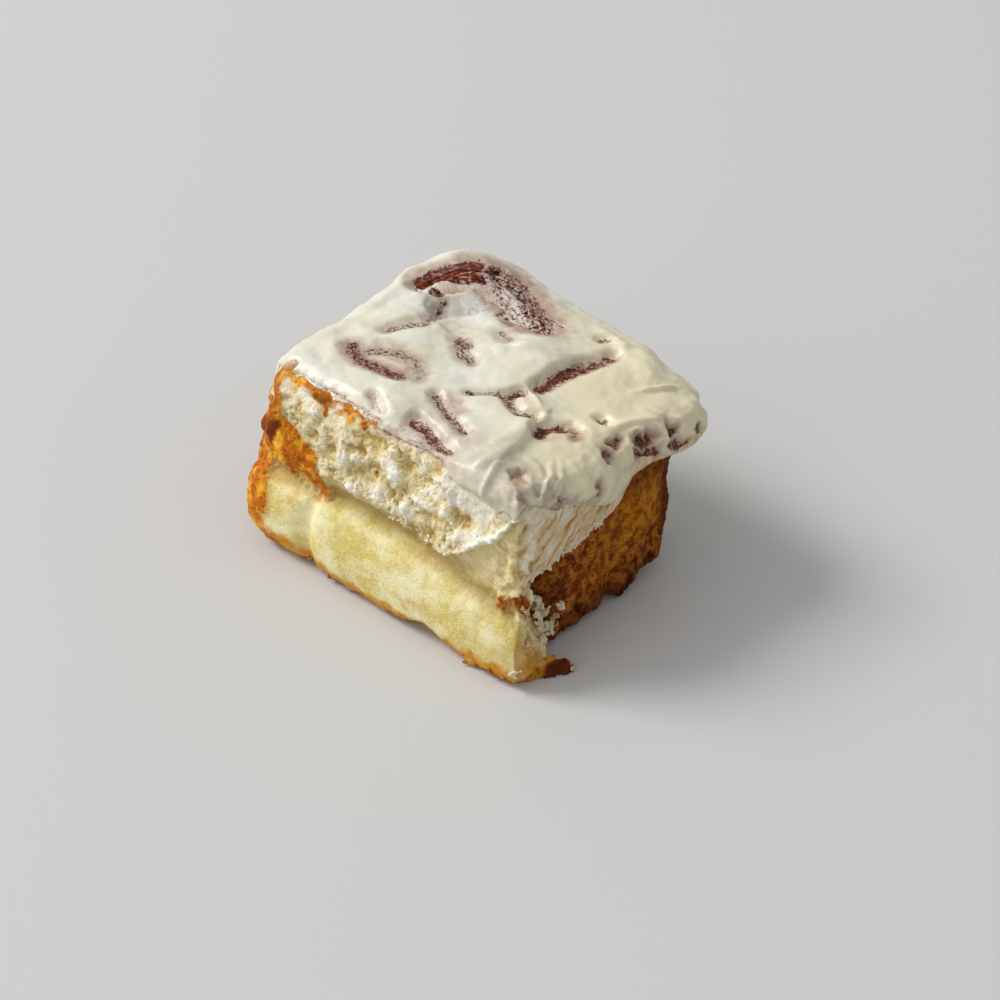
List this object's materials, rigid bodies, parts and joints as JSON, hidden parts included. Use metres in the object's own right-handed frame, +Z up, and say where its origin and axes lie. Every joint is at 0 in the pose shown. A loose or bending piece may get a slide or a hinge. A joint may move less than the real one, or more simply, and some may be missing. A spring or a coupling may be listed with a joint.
{
  "type": "cinnamon roll",
  "caption": "Square-sided cinnamon roll torn from its neighbours: coiled yeast dough with a cinnamon swirl that is bare on one side, and soft white icing over the top.",
  "frame": {"origin": "centre of the footprint, on the surface that the roll stands on", "axes": "+X along the long torn face, towards the corner between the two shown faces; -Y is the outward side of the long torn face, +X the outward side of the face with the bare filling, +Z up"},
  "size_m": [0.1126, 0.0924, 0.0648],
  "materials": {
    "dough": "soft torn crumb with a browned crust",
    "cinnamon_filling": "moist grainy brown",
    "icing": "soft satin gloss"
  },
  "bodies": {
    "root": {"dough": "dough", "cinnamon_filling": "cinnamon_filling", "icing": "icing"}
  },
  "joints": []
}
